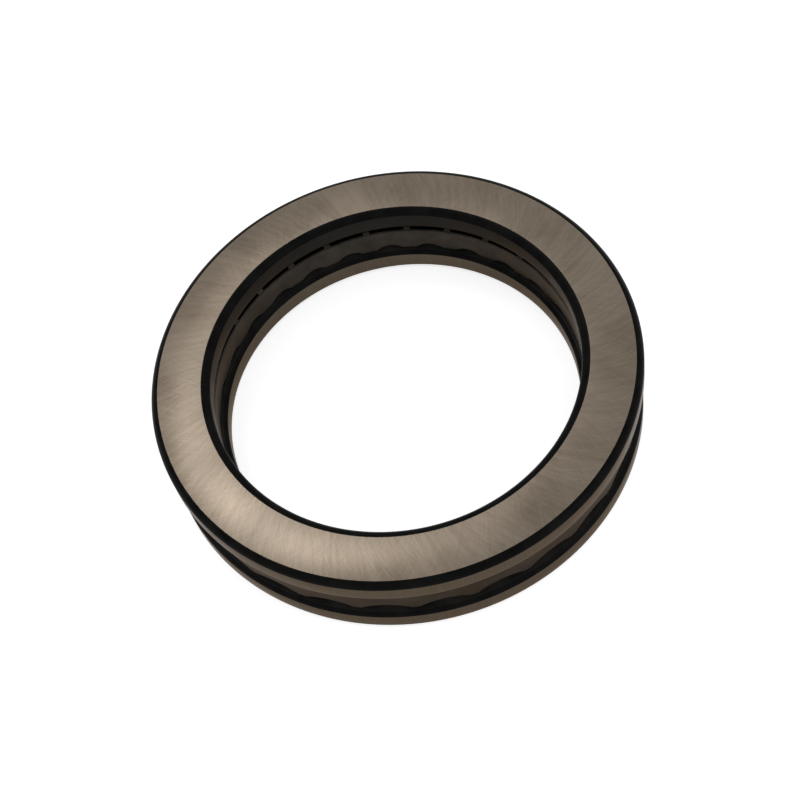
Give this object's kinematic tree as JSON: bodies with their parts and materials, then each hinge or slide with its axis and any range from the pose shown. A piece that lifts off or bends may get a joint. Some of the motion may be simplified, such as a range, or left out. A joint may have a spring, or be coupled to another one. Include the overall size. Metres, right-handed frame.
{
  "type": "thrust ball bearing",
  "caption": "Flat ring-shaped thrust ball bearing: two grooved steel washers with caged balls rolling between them, carrying axial load in one direction.",
  "frame": {"origin": "centre of the shaft washer's flat face, on which the bearing rests", "axes": "+Z along the bearing axis, from the shaft washer to the housing washer; +X through the first ball"},
  "size_m": [0.135, 0.135, 0.025],
  "materials": {
    "ground_steel": "ground on the flat faces, rims and shaft bore, black from hardening at the corners",
    "cage_steel": "pressed sheet, dull",
    "ball_steel": "polished"
  },
  "bodies": {
    "shaft_washer_body": {"shaft_washer": "ground_steel"},
    "housing_washer_body": {"housing_washer": "ground_steel"},
    "cage_body": {"cage": "cage_steel"},
    "ball_01_body": {"ball_01": "ball_steel"},
    "ball_02_body": {"ball_02": "ball_steel"},
    "ball_03_body": {"ball_03": "ball_steel"},
    "ball_04_body": {"ball_04": "ball_steel"},
    "ball_05_body": {"ball_05": "ball_steel"},
    "ball_06_body": {"ball_06": "ball_steel"},
    "ball_07_body": {"ball_07": "ball_steel"},
    "ball_08_body": {"ball_08": "ball_steel"},
    "ball_09_body": {"ball_09": "ball_steel"},
    "ball_10_body": {"ball_10": "ball_steel"},
    "ball_11_body": {"ball_11": "ball_steel"},
    "ball_12_body": {"ball_12": "ball_steel"},
    "ball_13_body": {"ball_13": "ball_steel"},
    "ball_14_body": {"ball_14": "ball_steel"},
    "ball_15_body": {"ball_15": "ball_steel"},
    "ball_16_body": {"ball_16": "ball_steel"},
    "ball_17_body": {"ball_17": "ball_steel"},
    "ball_18_body": {"ball_18": "ball_steel"},
    "ball_19_body": {"ball_19": "ball_steel"},
    "ball_20_body": {"ball_20": "ball_steel"},
    "ball_21_body": {"ball_21": "ball_steel"},
    "ball_22_body": {"ball_22": "ball_steel"},
    "ball_23_body": {"ball_23": "ball_steel"},
    "ball_24_body": {"ball_24": "ball_steel"},
    "ball_25_body": {"ball_25": "ball_steel"},
    "ball_26_body": {"ball_26": "ball_steel"},
    "ball_27_body": {"ball_27": "ball_steel"}
  },
  "joints": [
    {"name": "housing_washer_spin", "type": "hinge", "parent": "shaft_washer_body", "child": "housing_washer_body", "pos_m": [0, 0, 0.021], "axis": [0, 0, 1], "continuous": true},
    {"name": "cage_orbit", "type": "hinge", "parent": "shaft_washer_body", "child": "cage_body", "pos_m": [0, 0, 0.0125], "axis": [0, 0, 1], "continuous": true},
    {"name": "ball_01_roll", "type": "hinge", "parent": "cage_body", "child": "ball_01_body", "pos_m": [0.05875, 0, 0.0125], "axis": [1, 0, 0], "continuous": true},
    {"name": "ball_02_roll", "type": "hinge", "parent": "cage_body", "child": "ball_02_body", "pos_m": [0.05717, 0.01355, 0.0125], "axis": [0.973, 0.2306, 0], "continuous": true},
    {"name": "ball_03_roll", "type": "hinge", "parent": "cage_body", "child": "ball_03_body", "pos_m": [0.0525, 0.02637, 0.0125], "axis": [0.8936, 0.4488, 0], "continuous": true},
    {"name": "ball_04_roll", "type": "hinge", "parent": "cage_body", "child": "ball_04_body", "pos_m": [0.04501, 0.03776, 0.0125], "axis": [0.766, 0.6428, 0], "continuous": true},
    {"name": "ball_05_roll", "type": "hinge", "parent": "cage_body", "child": "ball_05_body", "pos_m": [0.03508, 0.04712, 0.0125], "axis": [0.5972, 0.8021, 0], "continuous": true},
    {"name": "ball_06_roll", "type": "hinge", "parent": "cage_body", "child": "ball_06_body", "pos_m": [0.02327, 0.05395, 0.0125], "axis": [0.3961, 0.9182, 0], "continuous": true},
    {"name": "ball_07_roll", "type": "hinge", "parent": "cage_body", "child": "ball_07_body", "pos_m": [0.0102, 0.05786, 0.0125], "axis": [0.1736, 0.9848, 0], "continuous": true},
    {"name": "ball_08_roll", "type": "hinge", "parent": "cage_body", "child": "ball_08_body", "pos_m": [-0.00342, 0.05865, 0.0125], "axis": [-0.0581, 0.9983, 0], "continuous": true},
    {"name": "ball_09_roll", "type": "hinge", "parent": "cage_body", "child": "ball_09_body", "pos_m": [-0.01685, 0.05628, 0.0125], "axis": [-0.2868, 0.958, 0], "continuous": true},
    {"name": "ball_10_roll", "type": "hinge", "parent": "cage_body", "child": "ball_10_body", "pos_m": [-0.02937, 0.05088, 0.0125], "axis": [-0.5, 0.866, 0], "continuous": true},
    {"name": "ball_11_roll", "type": "hinge", "parent": "cage_body", "child": "ball_11_body", "pos_m": [-0.04032, 0.04273, 0.0125], "axis": [-0.6862, 0.7274, 0], "continuous": true},
    {"name": "ball_12_roll", "type": "hinge", "parent": "cage_body", "child": "ball_12_body", "pos_m": [-0.04908, 0.03228, 0.0125], "axis": [-0.8355, 0.5495, 0], "continuous": true},
    {"name": "ball_13_roll", "type": "hinge", "parent": "cage_body", "child": "ball_13_body", "pos_m": [-0.05521, 0.02009, 0.0125], "axis": [-0.9397, 0.342, 0], "continuous": true},
    {"name": "ball_14_roll", "type": "hinge", "parent": "cage_body", "child": "ball_14_body", "pos_m": [-0.05835, 0.00682, 0.0125], "axis": [-0.9932, 0.1161, 0], "continuous": true},
    {"name": "ball_15_roll", "type": "hinge", "parent": "cage_body", "child": "ball_15_body", "pos_m": [-0.05835, -0.00682, 0.0125], "axis": [-0.9932, -0.1161, 0], "continuous": true},
    {"name": "ball_16_roll", "type": "hinge", "parent": "cage_body", "child": "ball_16_body", "pos_m": [-0.05521, -0.02009, 0.0125], "axis": [-0.9397, -0.342, 0], "continuous": true},
    {"name": "ball_17_roll", "type": "hinge", "parent": "cage_body", "child": "ball_17_body", "pos_m": [-0.04908, -0.03228, 0.0125], "axis": [-0.8355, -0.5495, 0], "continuous": true},
    {"name": "ball_18_roll", "type": "hinge", "parent": "cage_body", "child": "ball_18_body", "pos_m": [-0.04032, -0.04273, 0.0125], "axis": [-0.6862, -0.7274, 0], "continuous": true},
    {"name": "ball_19_roll", "type": "hinge", "parent": "cage_body", "child": "ball_19_body", "pos_m": [-0.02937, -0.05088, 0.0125], "axis": [-0.5, -0.866, 0], "continuous": true},
    {"name": "ball_20_roll", "type": "hinge", "parent": "cage_body", "child": "ball_20_body", "pos_m": [-0.01685, -0.05628, 0.0125], "axis": [-0.2868, -0.958, 0], "continuous": true},
    {"name": "ball_21_roll", "type": "hinge", "parent": "cage_body", "child": "ball_21_body", "pos_m": [-0.00342, -0.05865, 0.0125], "axis": [-0.0581, -0.9983, 0], "continuous": true},
    {"name": "ball_22_roll", "type": "hinge", "parent": "cage_body", "child": "ball_22_body", "pos_m": [0.0102, -0.05786, 0.0125], "axis": [0.1736, -0.9848, 0], "continuous": true},
    {"name": "ball_23_roll", "type": "hinge", "parent": "cage_body", "child": "ball_23_body", "pos_m": [0.02327, -0.05395, 0.0125], "axis": [0.3961, -0.9182, 0], "continuous": true},
    {"name": "ball_24_roll", "type": "hinge", "parent": "cage_body", "child": "ball_24_body", "pos_m": [0.03508, -0.04712, 0.0125], "axis": [0.5972, -0.8021, 0], "continuous": true},
    {"name": "ball_25_roll", "type": "hinge", "parent": "cage_body", "child": "ball_25_body", "pos_m": [0.04501, -0.03776, 0.0125], "axis": [0.766, -0.6428, 0], "continuous": true},
    {"name": "ball_26_roll", "type": "hinge", "parent": "cage_body", "child": "ball_26_body", "pos_m": [0.0525, -0.02637, 0.0125], "axis": [0.8936, -0.4488, 0], "continuous": true},
    {"name": "ball_27_roll", "type": "hinge", "parent": "cage_body", "child": "ball_27_body", "pos_m": [0.05717, -0.01355, 0.0125], "axis": [0.973, -0.2306, 0], "continuous": true}
  ],
  "couplings": [
    {"joint": "cage_orbit", "follows": "housing_washer_spin", "ratio": 0.5},
    {"joint": "ball_01_roll", "follows": "housing_washer_spin", "ratio": -4.626},
    {"joint": "ball_02_roll", "follows": "housing_washer_spin", "ratio": -4.626},
    {"joint": "ball_03_roll", "follows": "housing_washer_spin", "ratio": -4.626},
    {"joint": "ball_04_roll", "follows": "housing_washer_spin", "ratio": -4.626},
    {"joint": "ball_05_roll", "follows": "housing_washer_spin", "ratio": -4.626},
    {"joint": "ball_06_roll", "follows": "housing_washer_spin", "ratio": -4.626},
    {"joint": "ball_07_roll", "follows": "housing_washer_spin", "ratio": -4.626},
    {"joint": "ball_08_roll", "follows": "housing_washer_spin", "ratio": -4.626},
    {"joint": "ball_09_roll", "follows": "housing_washer_spin", "ratio": -4.626},
    {"joint": "ball_10_roll", "follows": "housing_washer_spin", "ratio": -4.626},
    {"joint": "ball_11_roll", "follows": "housing_washer_spin", "ratio": -4.626},
    {"joint": "ball_12_roll", "follows": "housing_washer_spin", "ratio": -4.626},
    {"joint": "ball_13_roll", "follows": "housing_washer_spin", "ratio": -4.626},
    {"joint": "ball_14_roll", "follows": "housing_washer_spin", "ratio": -4.626},
    {"joint": "ball_15_roll", "follows": "housing_washer_spin", "ratio": -4.626},
    {"joint": "ball_16_roll", "follows": "housing_washer_spin", "ratio": -4.626},
    {"joint": "ball_17_roll", "follows": "housing_washer_spin", "ratio": -4.626},
    {"joint": "ball_18_roll", "follows": "housing_washer_spin", "ratio": -4.626},
    {"joint": "ball_19_roll", "follows": "housing_washer_spin", "ratio": -4.626},
    {"joint": "ball_20_roll", "follows": "housing_washer_spin", "ratio": -4.626},
    {"joint": "ball_21_roll", "follows": "housing_washer_spin", "ratio": -4.626},
    {"joint": "ball_22_roll", "follows": "housing_washer_spin", "ratio": -4.626},
    {"joint": "ball_23_roll", "follows": "housing_washer_spin", "ratio": -4.626},
    {"joint": "ball_24_roll", "follows": "housing_washer_spin", "ratio": -4.626},
    {"joint": "ball_25_roll", "follows": "housing_washer_spin", "ratio": -4.626},
    {"joint": "ball_26_roll", "follows": "housing_washer_spin", "ratio": -4.626},
    {"joint": "ball_27_roll", "follows": "housing_washer_spin", "ratio": -4.626}
  ]
}
